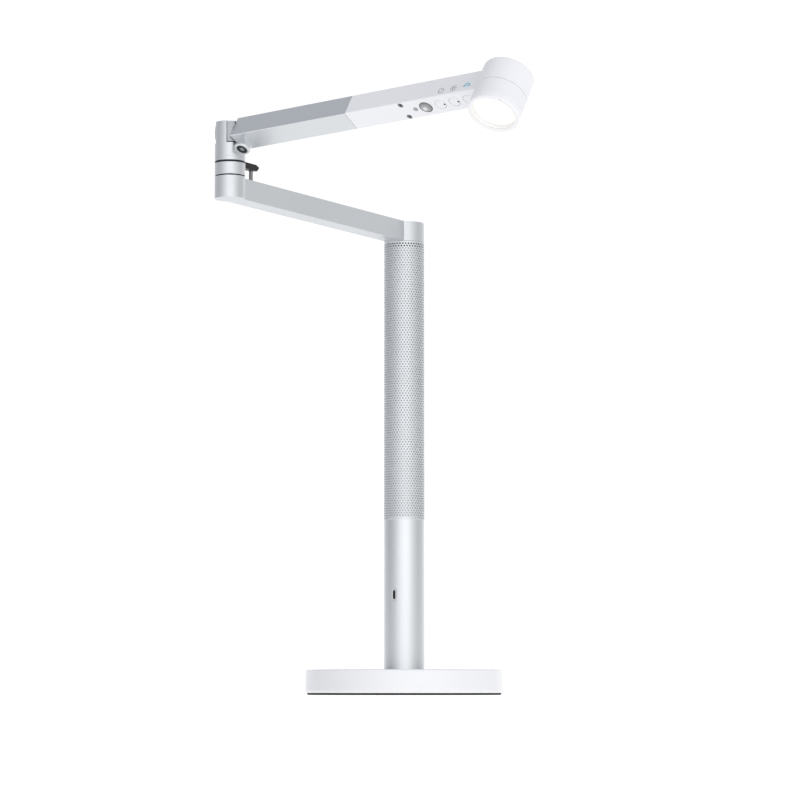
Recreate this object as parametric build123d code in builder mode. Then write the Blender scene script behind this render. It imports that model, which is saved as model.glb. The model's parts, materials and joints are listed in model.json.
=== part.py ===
from build123d import *
import os
from math import cos, radians, sin

# Articulated desk lamp: weighted base, perforated stem, two swinging arms and a round light head.
#
# Frame: +Z up, origin on the stem axis in the plane the lamp stands on. Millimetres.
# The lower arm swings on the stem, the elbow block turns on the lower arm, a knuckle tilts in the
# elbow block, and the upper arm rolls on the knuckle. Three push buttons travel in the upper arm.

os.makedirs("parts", exist_ok=True)

# ---------------------------------------------------------------- driving dimensions
# pose of the arms
LOWER_ARM_AZIMUTH = -120.7      # heading of the lower arm, and of the USB port on the stem
UPPER_ARM_AZIMUTH = -38.4       # heading of the upper arm
UPPER_ARM_PITCH = 1.54          # the upper arm rises a little towards the head
UPPER_ARM_ROLL = 32.2           # the head's beam leans this far from straight down
ARM_LENGTH = 290.6              # stem axis to elbow axis, and elbow axis to head axis

# base
BASE_RADIUS = 91.0
BASE_TOP_RADIUS = 90.5
BASE_HEIGHT = 23.0
BASE_SKIN = 3.0
PAD_THICKNESS = 1.8
PAD_RADIUS = 89.4
PLATE_THICKNESS = 3.0
BASE_SCREW_CIRCLE = 70.0
INLET_HEIGHT = 11.5

# stem
STEM_RADIUS = 18.64
TUBE_WALL = 1.5
SLEEVE_WALL = 0.8
TUBE_BOTTOM = 8.1
SLEEVE_BOTTOM = 160.3
SLEEVE_TOP = 419.05
DIFFUSER_TOP = 413.2
SPIGOT_RADIUS = 14.4
SPIGOT_TOP = 430.0
COLLAR_BORE = 12.4
RUNNING_GAP = 0.05              # radial clearance of every shaft in its bush

# lower arm
ARM_BOTTOM = 419.2              # leaves a running gap above the sleeve
ARM_TOP = 437.5
LOWER_ARM_WIDTH = 18.6
ELBOW_RADIUS = 13.0
HUB_BORE = 15.5
HUB_CHAMBER = 17.0
HUB_SHOULDER = 427.0
HARNESS_HEIGHT = 432.6
HARNESS_RADIUS = 1.6

# elbow
SHAFT_RADIUS = 6.5
SHAFT_BORE = 4.0
SHAFT_TOP = 465.8
HUB_TOP = 438.1
RING_BOTTOM = 439.2
RING_TOP = 449.7
WASHER_TOP = 451.1
BLOCK_BOTTOM = 451.25
BLOCK_TOP = 484.8
SLOT_FLOOR = 466.1
SLOT_HALF_WIDTH = 11.5
TAB_BOTTOM = 448.6
TAB_TOP = 453.9
TAB_HALF_WIDTH = 3.0
DOCK_PIN_REACH = 32.0
TILT_PIN_HEIGHT = 475.4
TILT_PIN_RADIUS = 2.5
KNUCKLE_HALF_WIDTH = 11.15
KNUCKLE_RADIUS = 9.0

# upper arm
ARM_AXIS_HEIGHT = 473.6         # height of the upper arm's axis where it crosses the elbow axis
ARM_SIDE = 19.8
ARM_HALF = ARM_SIDE / 2
ARM_WALL = 1.7
ARM_CORNER = 0.9
ARM_START = 11.6
END_CAP = 1.2
SHELL_SEAM = 137.0
CAVITY_END = 265.0
ROLL_SHAFT_RADIUS = 5.0
ROLL_BUSH_RADIUS = 6.6
BOSS_REACH = 22.0
BOSS_RADIUS = 6.8
BOSS_END = 19.2

# controls on the upper arm's beam-side face, as distances along the arm
SCREW_REACH = 193.5
SCREW_SPREAD = 6.9
SCREW_RECESS = 2.5
LIGHT_SENSOR_REACH = 204.5
MOTION_SENSOR_REACH = 215.0
BUTTON_REACH = 230.0
BUTTON_SPACING = 14.0
BUTTON_RADIUS = 4.7
BUTTON_GAP = 0.3
LIGHT_PIPE_OFFSET = (3.2, -0.9)  # from a button's centre
LIGHT_PIPE_RADIUS = 0.9
BUTTON_NAMES = ["power_button", "brightness_button", "warmth_button"]

# head, as distances along its own axis from the arm's axis
HEAD_RADIUS = 21.0
HEAD_BACK = -10.2
HEAD_SEAM = 11.7
SEAM_GAP = 0.3                  # shadow line between two shells
HEAD_FRONT = 32.3
HEAD_WALL = 1.8
LENS_BACK = 25.2

# ---------------------------------------------------------------- directions and planes
UP = Vector(0, 0, 1)


def heading(azimuth):
    """Level unit vector at an azimuth in degrees."""
    return Vector(cos(radians(azimuth)), sin(radians(azimuth)), 0)


lower_dir = heading(LOWER_ARM_AZIMUTH)
elbow = lower_dir * ARM_LENGTH
level_dir = heading(UPPER_ARM_AZIMUTH)
pin_dir = heading(UPPER_ARM_AZIMUTH - 90)
arm_dir = level_dir * cos(radians(UPPER_ARM_PITCH)) + UP * sin(radians(UPPER_ARM_PITCH))
arm_up = pin_dir.cross(arm_dir)
side_dir = pin_dir * cos(radians(UPPER_ARM_ROLL)) + arm_up * sin(radians(UPPER_ARM_ROLL))
beam_dir = pin_dir * sin(radians(UPPER_ARM_ROLL)) - arm_up * cos(radians(UPPER_ARM_ROLL))
arm_root = elbow + UP * ARM_AXIS_HEIGHT


def lower_plane(height):
    """Level plane, x along the lower arm from the stem axis."""
    return Plane(origin=UP * height, x_dir=lower_dir, z_dir=UP)


def port_plane(reach, height):
    """Upright plane facing out of the stem, x upwards."""
    return Plane(origin=lower_dir * reach + UP * height, x_dir=UP, z_dir=lower_dir)


def elbow_plane(height):
    """Level plane on the elbow axis, x along the upper arm."""
    return Plane(origin=elbow + UP * height, x_dir=level_dir, z_dir=UP)


def dock_plane(height):
    """Level plane on the elbow axis, x back along the lower arm."""
    return Plane(origin=elbow + UP * height, x_dir=-lower_dir, z_dir=UP)


def pin_plane(offset):
    """Upright plane square to the tilt pin, x along the upper arm, y up."""
    return Plane(origin=elbow + UP * TILT_PIN_HEIGHT + pin_dir * offset, x_dir=level_dir, z_dir=pin_dir)


def arm_plane(reach):
    """Plane square to the upper arm, y towards the beam side."""
    return Plane(origin=arm_root + arm_dir * reach, x_dir=side_dir, z_dir=arm_dir)


def beam_plane(reach, depth):
    """Plane facing out of the upper arm's beam side, x along the arm."""
    return Plane(origin=arm_root + arm_dir * reach + beam_dir * depth, x_dir=arm_dir, z_dir=beam_dir)


def bore_plane(reach, depth):
    """Plane square to the upper arm, its origin off the arm's axis towards the beam side."""
    return Plane(origin=arm_root + arm_dir * reach + beam_dir * depth, z_dir=arm_dir)


def profile_plane(reach):
    """Plane through the arm's axis and a beam-side axis: x along the arm, y along the beam."""
    return Plane(origin=arm_root + arm_dir * reach, x_dir=arm_dir, z_dir=-side_dir)


def save(piece, name):
    """Labels a finished piece and writes its STEP file."""
    piece.part.label = name
    export_step(piece.part, f"parts/{name}.step")


def ring(plane, outer, inner, length, mode=Mode.ADD):
    """Adds or cuts a round disc or tube that stands on a plane."""
    with BuildSketch(plane) as outline:
        Circle(outer)
        if inner > 0:
            Circle(inner, mode=Mode.SUBTRACT)
    extrude(outline.sketch, amount=length, mode=mode)


def block(plane, length, width, height, mode=Mode.ADD, center=(0, 0), corner=0):
    """Adds or cuts a rectangular block that stands on a plane, its upright edges rounded."""
    with BuildSketch(plane) as outline:
        with Locations(center):
            if corner > 0:
                RectangleRounded(length, width, corner)
            else:
                Rectangle(length, width)
    extrude(outline.sketch, amount=height, mode=mode)


# ---------------------------------------------------------------- base
GRIP_RINGS = (40, 60)           # radii of the grooves moulded in the pad's underside
GRIP_GROOVE = 1.5
SCREW_HEAD = 4.2
SCREW_SHANK = 2.1
SCREW_LENGTH = 12.0
CLAMP_HEAD = 6.5
CLAMP_SHANK = 4.0
PLATE_TOP = PAD_THICKNESS + PLATE_THICKNESS
WEIGHT_TOP = 19.6
WEIGHT_RADIUS = 86.5
INLET_RADIUS = 5.2
INLET_MOUTH = 2.9
INLET_PIN = 0.9
INLET_DEPTH = 14.0
INLET_FACE = 90.2               # how far back from the stem axis the inlet's mouth stands
screw_spots = PolarLocations(BASE_SCREW_CIRCLE, 4, start_angle=45)

with BuildPart() as base_pad:
    ring(Plane.XY, PAD_RADIUS, 0, PAD_THICKNESS)
    chamfer(base_pad.edges().sort_by(Axis.Z)[0], 0.9)
    for grip_radius in GRIP_RINGS:
        ring(Plane.XY, grip_radius + GRIP_GROOVE, grip_radius - GRIP_GROOVE, 0.6, Mode.SUBTRACT)
save(base_pad, "base_pad")

with BuildPart() as base_plate:
    ring(Plane.XY.offset(PAD_THICKNESS), BASE_RADIUS - BASE_SKIN - 0.3, CLAMP_HEAD + 0.3, PLATE_THICKNESS)
    with BuildSketch(Plane.XY.offset(PAD_THICKNESS)):
        with screw_spots:
            Circle(SCREW_HEAD)
    extrude(amount=SCREW_HEAD - SCREW_SHANK, taper=45, mode=Mode.SUBTRACT)
    with BuildSketch(Plane.XY.offset(PAD_THICKNESS)):
        with screw_spots:
            Circle(SCREW_SHANK)
    extrude(amount=PLATE_THICKNESS, mode=Mode.SUBTRACT)
save(base_plate, "base_plate")

with BuildPart() as base_screws:
    with BuildSketch(Plane.XY.offset(PAD_THICKNESS)):
        with screw_spots:
            Circle(SCREW_HEAD)
    extrude(amount=SCREW_HEAD - SCREW_SHANK, taper=45)
    with BuildSketch(Plane.XY.offset(PAD_THICKNESS)):
        with screw_spots:
            Circle(SCREW_SHANK)
    extrude(amount=SCREW_LENGTH)
save(base_screws, "base_screws")

with BuildPart() as base_weight:
    ring(Plane.XY.offset(PLATE_TOP), WEIGHT_RADIUS, CLAMP_SHANK, WEIGHT_TOP - PLATE_TOP)
    ring(Plane.XY.offset(TUBE_BOTTOM), STEM_RADIUS, 0, WEIGHT_TOP, Mode.SUBTRACT)
    with BuildSketch(Plane.XY.offset(PLATE_TOP)):
        with screw_spots:
            Circle(SCREW_SHANK)
    extrude(amount=PAD_THICKNESS + SCREW_LENGTH - PLATE_TOP, mode=Mode.SUBTRACT)
    block(Plane.XY.offset(PLATE_TOP), 14, 24, WEIGHT_TOP, Mode.SUBTRACT, center=(0, BASE_RADIUS - 13))
    block(Plane.XY.offset(15.5), 5, 60, WEIGHT_TOP, Mode.SUBTRACT, center=(0, 45))
save(base_weight, "base_weight")

with BuildPart() as base_cover:
    with BuildSketch(Plane.XZ):
        with BuildLine():
            Polyline(
                (STEM_RADIUS + 0.2, BASE_HEIGHT),
                (BASE_TOP_RADIUS, BASE_HEIGHT),
                (BASE_RADIUS, 4.0),
                (BASE_RADIUS - 1.4, PAD_THICKNESS),
                (BASE_RADIUS - BASE_SKIN, PAD_THICKNESS),
                (BASE_RADIUS - BASE_SKIN, BASE_HEIGHT - BASE_SKIN),
                (STEM_RADIUS + 0.2, BASE_HEIGHT - BASE_SKIN),
                close=True,
            )
        make_face()
    revolve(axis=Axis.Z)
    top_circles = base_cover.edges().filter_by(GeomType.CIRCLE).group_by(Axis.Z)[-1]
    fillet(top_circles.sort_by(SortBy.LENGTH)[-1], 1.2)
    inlet_hole = Plane(origin=(0, BASE_RADIUS - 6, INLET_HEIGHT), z_dir=(0, 1, 0))
    ring(inlet_hole, INLET_RADIUS, 0, 12, Mode.SUBTRACT)
save(base_cover, "base_cover")

inlet_back = Plane(origin=(0, INLET_FACE - INLET_DEPTH, INLET_HEIGHT), z_dir=(0, 1, 0))
with BuildPart() as dc_inlet:
    ring(inlet_back, INLET_RADIUS, 0, INLET_DEPTH)
    ring(inlet_back.offset(3), INLET_MOUTH, INLET_PIN, INLET_DEPTH, Mode.SUBTRACT)
    ring(inlet_back.offset(INLET_DEPTH - 1.5), INLET_MOUTH, 0, INLET_DEPTH, Mode.SUBTRACT)
    block(inlet_back.offset(-4), 9, 9, 4)
save(dc_inlet, "dc_inlet")

# ---------------------------------------------------------------- stem
FOOT_RADIUS = STEM_RADIUS - TUBE_WALL
LIP_HEIGHT = 3.2                # the tube's lip that centres the sleeve
PORT_HEIGHT = 91.6
PORT_LENGTH = 8.34
PORT_WIDTH = 2.56
PORT_SHELL = 0.3
BEZEL_LENGTH = 13.2
BEZEL_WIDTH = 6.3
BEZEL_FACE = 18.35
BOARD_FACE = 10.8               # how far out from the stem axis the power board's front stands
BOARD_THICKNESS = 1.6
BOARD_BOTTOM = 50.0
BOARD_LENGTH = 92.0

with BuildPart() as stem_foot:
    ring(Plane.XY.offset(TUBE_BOTTOM), FOOT_RADIUS, CLAMP_SHANK, 26)
    ring(Plane.XY.offset(TUBE_BOTTOM + 14), FOOT_RADIUS - 4, 0, 26, Mode.SUBTRACT)
    block(Plane.XY.offset(14.5), 5, 20, 6, Mode.SUBTRACT, center=(0, 16))
save(stem_foot, "stem_foot")

with BuildPart() as stem_clamp_bolt:
    with BuildSketch(Plane.XY.offset(PAD_THICKNESS + 0.2)):
        Circle(CLAMP_HEAD)
        RegularPolygon(3.2, 6, mode=Mode.SUBTRACT)
    extrude(amount=PLATE_THICKNESS - 0.2)
    ring(Plane.XY.offset(PLATE_TOP - 0.8), CLAMP_SHANK, 0, TUBE_BOTTOM + 13 - PLATE_TOP)
save(stem_clamp_bolt, "stem_clamp_bolt")

with BuildPart() as stem_tube:
    ring(Plane.XY.offset(TUBE_BOTTOM), STEM_RADIUS, FOOT_RADIUS, SLEEVE_BOTTOM - TUBE_BOTTOM)
    lip_radius = STEM_RADIUS - SLEEVE_WALL
    ring(Plane.XY.offset(SLEEVE_BOTTOM - 6), lip_radius, lip_radius - 1.4, 6 + LIP_HEIGHT)
    with BuildSketch(port_plane(BOARD_FACE, PORT_HEIGHT)):
        SlotOverall(BEZEL_LENGTH, BEZEL_WIDTH)
    extrude(amount=STEM_RADIUS, mode=Mode.SUBTRACT)
    block(Plane.XY.offset(14.5), 5, 8, 6, Mode.SUBTRACT, center=(0, 18))
save(stem_tube, "stem_tube")

with BuildPart() as perforated_sleeve:
    sleeve_length = SLEEVE_TOP - SLEEVE_BOTTOM
    ring(Plane.XY.offset(SLEEVE_BOTTOM), STEM_RADIUS, STEM_RADIUS - SLEEVE_WALL, sleeve_length)
save(perforated_sleeve, "perforated_sleeve")

DIFFUSER_RADIUS = 17.7
DIFFUSER_WALL = 1.6
with BuildPart() as diffuser_tube:
    diffuser_bottom = SLEEVE_BOTTOM + LIP_HEIGHT
    ring(
        Plane.XY.offset(diffuser_bottom),
        DIFFUSER_RADIUS,
        DIFFUSER_RADIUS - DIFFUSER_WALL,
        DIFFUSER_TOP - diffuser_bottom,
    )
save(diffuser_tube, "diffuser_tube")

CONE_BOTTOM = 168.0
CONE_TOP = 396.0
CONE_BORE = 2.6
CONE_SKIN = 1.2
CONE_FOOT = DIFFUSER_RADIUS - DIFFUSER_WALL
with BuildPart() as light_cone:
    with BuildSketch(Plane.XZ):
        with BuildLine():
            Polyline(
                (CONE_BORE, CONE_TOP),
                (CONE_BORE + CONE_SKIN, CONE_TOP),
                (CONE_FOOT - 1, CONE_BOTTOM + 2),
                (CONE_FOOT, CONE_BOTTOM + 2),
                (CONE_FOOT, CONE_BOTTOM),
                (CONE_FOOT - 1 - CONE_SKIN, CONE_BOTTOM),
                close=True,
            )
        make_face()
    revolve(axis=Axis.Z)
save(light_cone, "light_cone")

with BuildPart() as stem_harness:
    ring(Plane.XY.offset(BOARD_BOTTOM + BOARD_LENGTH - 8), HARNESS_RADIUS, 0, 280)
save(stem_harness, "stem_harness")

with BuildPart() as stem_top_collar:
    collar_bottom = DIFFUSER_TOP + 0.2
    ring(
        Plane.XY.offset(collar_bottom), STEM_RADIUS - SLEEVE_WALL, COLLAR_BORE, SLEEVE_TOP - collar_bottom
    )
    ring(Plane.XY.offset(SLEEVE_TOP), SPIGOT_RADIUS, COLLAR_BORE, SPIGOT_TOP - SLEEVE_TOP)
save(stem_top_collar, "stem_top_collar")

NUT_BOTTOM = 428.2
with BuildPart() as swivel_nut:
    ring(Plane.XY.offset(NUT_BOTTOM), 16.6, SPIGOT_RADIUS, SPIGOT_TOP - NUT_BOTTOM)
    with BuildSketch(Plane.XY.offset(NUT_BOTTOM)):
        with PolarLocations(16.6, 4):
            Rectangle(2.4, 2.4)
    extrude(amount=4, mode=Mode.SUBTRACT)
save(swivel_nut, "swivel_nut")

with BuildPart() as usb_port_bezel:
    with BuildSketch(port_plane(BOARD_FACE + 6, PORT_HEIGHT)):
        SlotOverall(BEZEL_LENGTH, BEZEL_WIDTH)
        SlotOverall(PORT_LENGTH + 2 * PORT_SHELL, PORT_WIDTH + 2 * PORT_SHELL, mode=Mode.SUBTRACT)
    extrude(amount=BEZEL_FACE - BOARD_FACE - 6)
save(usb_port_bezel, "usb_port_bezel")

with BuildPart() as usb_port_shell:
    with BuildSketch(port_plane(BOARD_FACE, PORT_HEIGHT)):
        SlotOverall(PORT_LENGTH + 2 * PORT_SHELL, PORT_WIDTH + 2 * PORT_SHELL)
    extrude(amount=BEZEL_FACE - BOARD_FACE - 0.2)
    with BuildSketch(port_plane(BOARD_FACE + 0.8, PORT_HEIGHT)):
        SlotOverall(PORT_LENGTH, PORT_WIDTH)
    extrude(amount=BEZEL_FACE, mode=Mode.SUBTRACT)
save(usb_port_shell, "usb_port_shell")

with BuildPart() as usb_port_tongue:
    block(port_plane(BOARD_FACE + 0.8, PORT_HEIGHT), PORT_LENGTH - 1.6, PORT_WIDTH - 0.8, 1.4)
    block(port_plane(BOARD_FACE + 0.8, PORT_HEIGHT), PORT_LENGTH - 1.6, 0.7, 5.6)
save(usb_port_tongue, "usb_port_tongue")

with BuildPart() as power_board:
    board_back = port_plane(BOARD_FACE - BOARD_THICKNESS, BOARD_BOTTOM + BOARD_LENGTH / 2)
    block(board_back, BOARD_LENGTH, 24, BOARD_THICKNESS, corner=1.5)
    parts_face = Plane(origin=board_back.origin, x_dir=UP, z_dir=-lower_dir)
    block(parts_face, 13, 12, 9, center=(-28, 0), corner=1)
    block(parts_face, 8, 8, 3, center=(14, 5))
    block(parts_face, 5, 7, 2, center=(28, -5))
    with BuildSketch(parts_face):
        with Locations((-8, -5), (-8, 6)):
            Circle(4)
    extrude(amount=11)
save(power_board, "power_board")

# ---------------------------------------------------------------- lower arm
BEAM_FLOOR = 421.6
CHANNEL_WIDTH = 14.6
CHANNEL_START = 20.0
CHANNEL_END = ARM_LENGTH - 42
COVER_WIDTH = 16.4
COVER_BOTTOM = 435.8
WINDOW_BOTTOM = 430.4
WINDOW_HEIGHT = 4.4
WINDOW_WIDTH = 5.0
LENS_BOTTOM = 436.0
SHAFT_FOOT = 422.5
DOCK_PIN_FOOT = 435.4
DOCK_PIN_RADIUS = 1.7

with BuildPart() as lower_arm_beam:
    with BuildSketch(lower_plane(ARM_BOTTOM)):
        Circle(STEM_RADIUS)
        with Locations((ARM_LENGTH / 2, 0)):
            Rectangle(ARM_LENGTH, LOWER_ARM_WIDTH)
        with Locations((ARM_LENGTH, 0)):
            Circle(ELBOW_RADIUS)
    extrude(amount=ARM_TOP - ARM_BOTTOM)
    chamfer(lower_arm_beam.faces().sort_by(Axis.Z)[0].outer_wire().edges(), 0.2)
    ring(elbow_plane(ARM_TOP), ELBOW_RADIUS, 0, HUB_TOP - ARM_TOP)
    ring(lower_plane(ARM_BOTTOM), HUB_BORE, 0, HUB_SHOULDER - ARM_BOTTOM, Mode.SUBTRACT)
    ring(lower_plane(HUB_SHOULDER), HUB_CHAMBER, 0, ARM_TOP, Mode.SUBTRACT)
    channel_middle = (CHANNEL_START + CHANNEL_END) / 2
    channel_length = CHANNEL_END - CHANNEL_START
    block(
        lower_plane(BEAM_FLOOR), channel_length, CHANNEL_WIDTH, ARM_TOP, Mode.SUBTRACT, (channel_middle, 0)
    )
    block(
        lower_plane(COVER_BOTTOM), channel_length, COVER_WIDTH, ARM_TOP, Mode.SUBTRACT, (channel_middle, 0)
    )
    block(
        lower_plane(WINDOW_BOTTOM),
        ARM_LENGTH - 14,
        WINDOW_WIDTH,
        WINDOW_HEIGHT,
        Mode.SUBTRACT,
        ((ARM_LENGTH + 14) / 2, 0),
    )
    ring(elbow_plane(SHAFT_FOOT), SHAFT_RADIUS, 0, HUB_TOP, Mode.SUBTRACT)
    with BuildSketch(dock_plane(DOCK_PIN_FOOT)):
        with Locations((DOCK_PIN_REACH, 0)):
            Circle(DOCK_PIN_RADIUS)
    extrude(amount=ARM_TOP, mode=Mode.SUBTRACT)
save(lower_arm_beam, "lower_arm_beam")

with BuildPart() as lower_arm_cover:
    cover_length = channel_length - 0.4
    block(
        lower_plane(COVER_BOTTOM),
        cover_length,
        COVER_WIDTH - 0.2,
        ARM_TOP - COVER_BOTTOM,
        center=(channel_middle, 0),
    )
    with BuildSketch(lower_plane(COVER_BOTTOM - 4)):
        with Locations((channel_middle, 0)):
            with GridLocations(cover_length / 4, CHANNEL_WIDTH - 1.8, 4, 2):
                Rectangle(8, 1.2)
    extrude(amount=4)
save(lower_arm_cover, "lower_arm_cover")

with BuildPart() as swivel_bush:
    bush_bottom = ARM_BOTTOM + 0.3
    flange = NUT_BOTTOM - 0.2 - HUB_SHOULDER
    ring(Plane.XY.offset(bush_bottom), HUB_BORE, SPIGOT_RADIUS + RUNNING_GAP, HUB_SHOULDER - bush_bottom)
    ring(Plane.XY.offset(HUB_SHOULDER), HUB_CHAMBER - 0.3, SPIGOT_RADIUS + RUNNING_GAP, flange)
save(swivel_bush, "swivel_bush")

with BuildPart() as dock_magnet_ring:
    ring(Plane.XY.offset(LENS_BOTTOM - 1.2), HUB_CHAMBER, 13.0, 1.2)
save(dock_magnet_ring, "dock_magnet_ring")

with BuildPart() as dock_lens:
    ring(Plane.XY.offset(LENS_BOTTOM), HUB_CHAMBER, 0, ARM_TOP - LENS_BOTTOM)
save(dock_lens, "dock_lens")

with BuildPart() as lower_arm_harness:
    with BuildLine(Plane(origin=(0, 0, 0), x_dir=lower_dir, z_dir=heading(LOWER_ARM_AZIMUTH - 90))):
        harness_path = FilletPolyline(
            (0, HARNESS_HEIGHT - 7),
            (0, HARNESS_HEIGHT),
            (ARM_LENGTH, HARNESS_HEIGHT),
            (ARM_LENGTH, SHAFT_TOP - 3),
            radius=3.8,
        )
    with BuildSketch(Plane(origin=harness_path @ 0, z_dir=harness_path % 0)):
        Circle(HARNESS_RADIUS)
    sweep()
save(lower_arm_harness, "lower_arm_harness")

with BuildPart() as elbow_shaft:
    ring(elbow_plane(SHAFT_FOOT), SHAFT_RADIUS, SHAFT_BORE, SHAFT_TOP - SHAFT_FOOT)
    block(dock_plane(WINDOW_BOTTOM), 8, WINDOW_WIDTH, WINDOW_HEIGHT, Mode.SUBTRACT, (4, 0))
save(elbow_shaft, "elbow_shaft")

with BuildPart() as elbow_seal:
    ring(elbow_plane(HUB_TOP), ELBOW_RADIUS - 0.6, SHAFT_RADIUS, RING_BOTTOM - HUB_TOP)
save(elbow_seal, "elbow_seal")

with BuildPart() as elbow_ring:
    ring(elbow_plane(RING_BOTTOM), ELBOW_RADIUS, SHAFT_RADIUS, RING_TOP - RING_BOTTOM)
    chamfer(elbow_ring.edges().filter_by(GeomType.CIRCLE).sort_by(SortBy.LENGTH)[-2:], 0.25)
save(elbow_ring, "elbow_ring")

LINK_END = 18.5                 # the washer's thin link runs out to here, then the tab thickens
TAB_TIP = 40.7
TAB_POINT = 452.0               # height of the tab's pointed end
across_lower_arm = heading(LOWER_ARM_AZIMUTH + 90)
with BuildPart() as dock_tab:
    ring(elbow_plane(RING_TOP), ELBOW_RADIUS - 0.15, SHAFT_RADIUS, WASHER_TOP - RING_TOP)
    tab_origin = elbow + across_lower_arm * TAB_HALF_WIDTH
    with BuildSketch(Plane(origin=tab_origin, x_dir=-lower_dir, z_dir=across_lower_arm)):
        with BuildLine():
            Polyline(
                (ELBOW_RADIUS - 2, RING_TOP),
                (LINK_END, RING_TOP),
                (LINK_END + 0.6, TAB_BOTTOM),
                (TAB_TIP - 3.3, TAB_BOTTOM),
                (TAB_TIP, TAB_POINT),
                (TAB_TIP - 4.7, TAB_TOP),
                (LINK_END + 1, TAB_TOP),
                (LINK_END, WASHER_TOP),
                (ELBOW_RADIUS - 2, WASHER_TOP),
                close=True,
            )
        make_face()
    extrude(amount=-2 * TAB_HALF_WIDTH)
save(dock_tab, "dock_tab")

with BuildPart() as dock_pin:
    with BuildSketch(dock_plane(DOCK_PIN_FOOT)):
        with Locations((DOCK_PIN_REACH, 0)):
            Circle(DOCK_PIN_RADIUS)
    extrude(amount=TAB_BOTTOM - DOCK_PIN_FOOT)
    with BuildSketch(dock_plane(ARM_TOP)):
        with Locations((DOCK_PIN_REACH, 0)):
            Circle(DOCK_PIN_RADIUS + 0.6)
    extrude(amount=0.7)
save(dock_pin, "dock_pin")

ELBOW_NUT_BOTTOM = 464.1
with BuildPart() as elbow_nut:
    with BuildSketch(elbow_plane(ELBOW_NUT_BOTTOM)):
        RegularPolygon(8.8, 6)
        Circle(SHAFT_RADIUS, mode=Mode.SUBTRACT)
    extrude(amount=SHAFT_TOP - ELBOW_NUT_BOTTOM)
save(elbow_nut, "elbow_nut")

# ---------------------------------------------------------------- elbow block
ELBOW_BUSH = 8.0
ELBOW_POCKET = 9.3
POCKET_FLOOR = 463.0
REVEAL_HEIGHT = 454.2
RELIEF_BOTTOM = 457.0           # flat that clears the rolling arm
RELIEF_REACH = 10.2
PIN_END = SLOT_HALF_WIDTH + 0.9  # the tilt pin stops inside the far cheek

with BuildPart() as elbow_fork:
    ring(elbow_plane(BLOCK_BOTTOM), ELBOW_RADIUS, 0, BLOCK_TOP - BLOCK_BOTTOM)
    fillet(elbow_fork.edges().group_by(Axis.Z)[-1], 0.4)
    ring(elbow_plane(REVEAL_HEIGHT), ELBOW_RADIUS + 1, ELBOW_RADIUS - 0.25, 0.35, Mode.SUBTRACT)
    block(elbow_plane(SLOT_FLOOR), 40, 2 * SLOT_HALF_WIDTH, BLOCK_TOP, Mode.SUBTRACT)
    relief_middle = RELIEF_REACH + ELBOW_RADIUS
    block(
        elbow_plane(RELIEF_BOTTOM), 2 * ELBOW_RADIUS, 40, BLOCK_TOP, Mode.SUBTRACT, (relief_middle, 0)
    )
    ring(elbow_plane(BLOCK_BOTTOM), ELBOW_BUSH, 0, BLOCK_TOP, Mode.SUBTRACT)
    ring(elbow_plane(POCKET_FLOOR), ELBOW_POCKET, 0, BLOCK_TOP, Mode.SUBTRACT)
    ring(pin_plane(PIN_END), TILT_PIN_RADIUS, 0, -40, Mode.SUBTRACT)
save(elbow_fork, "elbow_fork")

with BuildPart() as elbow_bush:
    ring(elbow_plane(BLOCK_BOTTOM), ELBOW_BUSH, SHAFT_RADIUS + RUNNING_GAP, POCKET_FLOOR - BLOCK_BOTTOM)
    ring(elbow_plane(POCKET_FLOOR), ELBOW_POCKET, SHAFT_RADIUS + RUNNING_GAP, 0.9)
save(elbow_bush, "elbow_bush")

with BuildPart() as tilt_pin:
    pin_length = PIN_END + ELBOW_RADIUS - 0.3
    ring(pin_plane(PIN_END), TILT_PIN_RADIUS, 0, -pin_length)
    chamfer(tilt_pin.edges().sort_by(Axis(elbow, pin_dir))[0], 0.3)
save(tilt_pin, "tilt_pin")

# ---------------------------------------------------------------- knuckle
SHAFT_START = 4.2
SHAFT_LENGTH = 29.8
SHAFT_HOLE = 2.4
NUT_START = 31.3
HINGE_BOSS = 6.5                # round pads that bear on the fork's cheeks
KNUCKLE_LIFT = 0.6              # clears the slot's floor as the knuckle tilts down
ARM_GAP = 0.35                  # between the knuckle's face and the rolling arm

with BuildPart() as tilt_knuckle:
    with BuildSketch(pin_plane(-KNUCKLE_HALF_WIDTH)):
        Circle(KNUCKLE_RADIUS)
        with Locations((ELBOW_RADIUS / 2, KNUCKLE_LIFT / 2)):
            Rectangle(ELBOW_RADIUS, 2 * KNUCKLE_RADIUS - KNUCKLE_LIFT)
    extrude(amount=2 * KNUCKLE_HALF_WIDTH)
    ring(elbow_plane(SLOT_FLOOR - 1), ELBOW_RADIUS - 0.1, 0, 30, Mode.INTERSECT)
    block(arm_plane(ARM_START - ARM_GAP), 40, 40, ELBOW_RADIUS, Mode.SUBTRACT)
    ring(pin_plane(-SLOT_HALF_WIDTH + 0.1), HINGE_BOSS, 0, 2 * SLOT_HALF_WIDTH - 0.2)
    ring(pin_plane(-SLOT_HALF_WIDTH), TILT_PIN_RADIUS + RUNNING_GAP, 0, 40, Mode.SUBTRACT)
    ring(arm_plane(SHAFT_START), ROLL_SHAFT_RADIUS, 0, 40, Mode.SUBTRACT)
save(tilt_knuckle, "tilt_knuckle")

with BuildPart() as roll_shaft:
    ring(arm_plane(SHAFT_START), ROLL_SHAFT_RADIUS, SHAFT_HOLE, SHAFT_LENGTH)
save(roll_shaft, "roll_shaft")

with BuildPart() as roll_nut:
    with BuildSketch(arm_plane(NUT_START)):
        RegularPolygon(7.6, 6)
        Circle(ROLL_SHAFT_RADIUS, mode=Mode.SUBTRACT)
    extrude(amount=2.5)
save(roll_nut, "roll_nut")

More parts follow.
